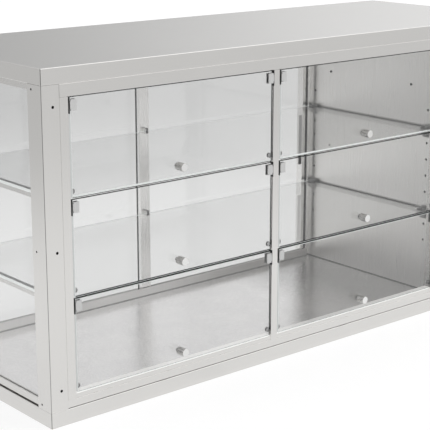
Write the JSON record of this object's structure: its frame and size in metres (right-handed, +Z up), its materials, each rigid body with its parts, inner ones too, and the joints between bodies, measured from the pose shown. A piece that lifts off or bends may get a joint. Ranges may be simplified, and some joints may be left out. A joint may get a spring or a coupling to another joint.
{
  "type": "countertop refrigerated display case",
  "caption": "Low stainless display case with lift-up glass front doors, glass shelves, sliding glass rear doors and a cooled deck beside a machine bay.",
  "frame": {"origin": "middle of the base's underside, on the counter", "axes": "+Z up, -Y towards the customer's side with the lift-up doors, +X towards the machine bay"},
  "size_m": [1.328, 0.5153, 0.66],
  "materials": {
    "case_steel": "satin",
    "frame_steel": "satin",
    "liner_steel": "satin",
    "track_metal": "satin",
    "clear_glass": "gloss",
    "clear_plastic": "gloss",
    "black_plastic": "satin",
    "black_steel": "satin",
    "knob_metal": "satin",
    "foam": "matte",
    "copper": "satin",
    "compressor_paint": "satin",
    "fin_aluminium": "satin",
    "fan_plastic": "matte",
    "motor_metal": "satin"
  },
  "bodies": {
    "cabinet": {"base_pan": "case_steel", "top_cap": "case_steel", "foam_insulation": "foam", "deck_panel": "liner_steel", "evaporator_coil": "copper", "front_left_post": "frame_steel", "front_right_post": "frame_steel", "rear_left_post": "frame_steel", "rear_right_post": "frame_steel", "front_sill": "frame_steel", "front_header": "frame_steel", "front_left_stile": "frame_steel", "front_right_stile": "frame_steel", "front_mullion": "frame_steel", "end_glass": "clear_glass", "end_glass_channels": "frame_steel", "rear_bottom_track": "track_metal", "rear_top_track": "track_metal", "rear_mullion": "frame_steel", "ceiling_liner": "liner_steel", "wall_liner": "liner_steel", "compressor": "compressor_paint", "condenser_coil": "fin_aluminium", "fan_motor": "motor_metal", "front_grille_panel": "case_steel", "rear_grille_panel": "case_steel", "machine_side_panel": "case_steel", "thermostat_body": "black_plastic", "power_inlet": "black_plastic", "shelf_clips": "clear_plastic", "shelf_rails": "track_metal", "frame_screws": "black_steel", "hinge_bushings": "black_plastic", "door_stops": "clear_plastic", "lower_shelf": "clear_glass", "upper_shelf": "clear_glass"},
    "door_left_bottom": {"front_door_left_bottom": "clear_glass", "door_knob_left_bottom": "knob_metal", "hinge_clips_left_bottom": "clear_plastic"},
    "door_left_middle": {"front_door_left_middle": "clear_glass", "door_knob_left_middle": "knob_metal", "hinge_clips_left_middle": "clear_plastic"},
    "door_left_top": {"front_door_left_top": "clear_glass", "door_knob_left_top": "knob_metal", "hinge_clips_left_top": "clear_plastic"},
    "door_right_bottom": {"front_door_right_bottom": "clear_glass", "door_knob_right_bottom": "knob_metal", "hinge_clips_right_bottom": "clear_plastic"},
    "door_right_middle": {"front_door_right_middle": "clear_glass", "door_knob_right_middle": "knob_metal", "hinge_clips_right_middle": "clear_plastic"},
    "door_right_top": {"front_door_right_top": "clear_glass", "door_knob_right_top": "knob_metal", "hinge_clips_right_top": "clear_plastic"},
    "rear_door_left": {"slide_door_left": "clear_glass", "slide_hardware_left": "track_metal"},
    "rear_door_right": {"slide_door_right": "clear_glass", "slide_hardware_right": "track_metal"},
    "fan": {"fan_blade": "fan_plastic"},
    "thermostat_dial": {"thermostat_knob": "black_plastic"}
  },
  "joints": [
    {"name": "door_left_bottom_pivot", "type": "hinge", "parent": "cabinet", "child": "door_left_bottom", "pos_m": [-0.36625, -0.237, 0.22417], "axis": [-1, 0, 0], "range_deg": [0, 90]},
    {"name": "door_left_middle_pivot", "type": "hinge", "parent": "cabinet", "child": "door_left_middle", "pos_m": [-0.36625, -0.237, 0.40783], "axis": [-1, 0, 0], "range_deg": [0, 90]},
    {"name": "door_left_top_pivot", "type": "hinge", "parent": "cabinet", "child": "door_left_top", "pos_m": [-0.36625, -0.237, 0.5915], "axis": [-1, 0, 0], "range_deg": [0, 90]},
    {"name": "door_right_bottom_pivot", "type": "hinge", "parent": "cabinet", "child": "door_right_bottom", "pos_m": [0.13425, -0.237, 0.22417], "axis": [-1, 0, 0], "range_deg": [0, 90]},
    {"name": "door_right_middle_pivot", "type": "hinge", "parent": "cabinet", "child": "door_right_middle", "pos_m": [0.13425, -0.237, 0.40783], "axis": [-1, 0, 0], "range_deg": [0, 90]},
    {"name": "door_right_top_pivot", "type": "hinge", "parent": "cabinet", "child": "door_right_top", "pos_m": [0.13425, -0.237, 0.5915], "axis": [-1, 0, 0], "range_deg": [0, 90]},
    {"name": "rear_door_left_slide", "type": "slide", "parent": "cabinet", "child": "rear_door_left", "axis": [1, 0, 0], "range_m": [0, 0.49]},
    {"name": "rear_door_right_slide", "type": "slide", "parent": "cabinet", "child": "rear_door_right", "axis": [-1, 0, 0], "range_m": [0, 0.49]},
    {"name": "fan_spin", "type": "hinge", "parent": "cabinet", "child": "fan", "pos_m": [0.548, -0.177, 0.16], "axis": [0, -1, 0], "continuous": true},
    {"name": "thermostat_turn", "type": "hinge", "parent": "cabinet", "child": "thermostat_dial", "pos_m": [0.548, 0.24, 0.53], "axis": [0, -1, 0], "range_deg": [0, 270]}
  ]
}
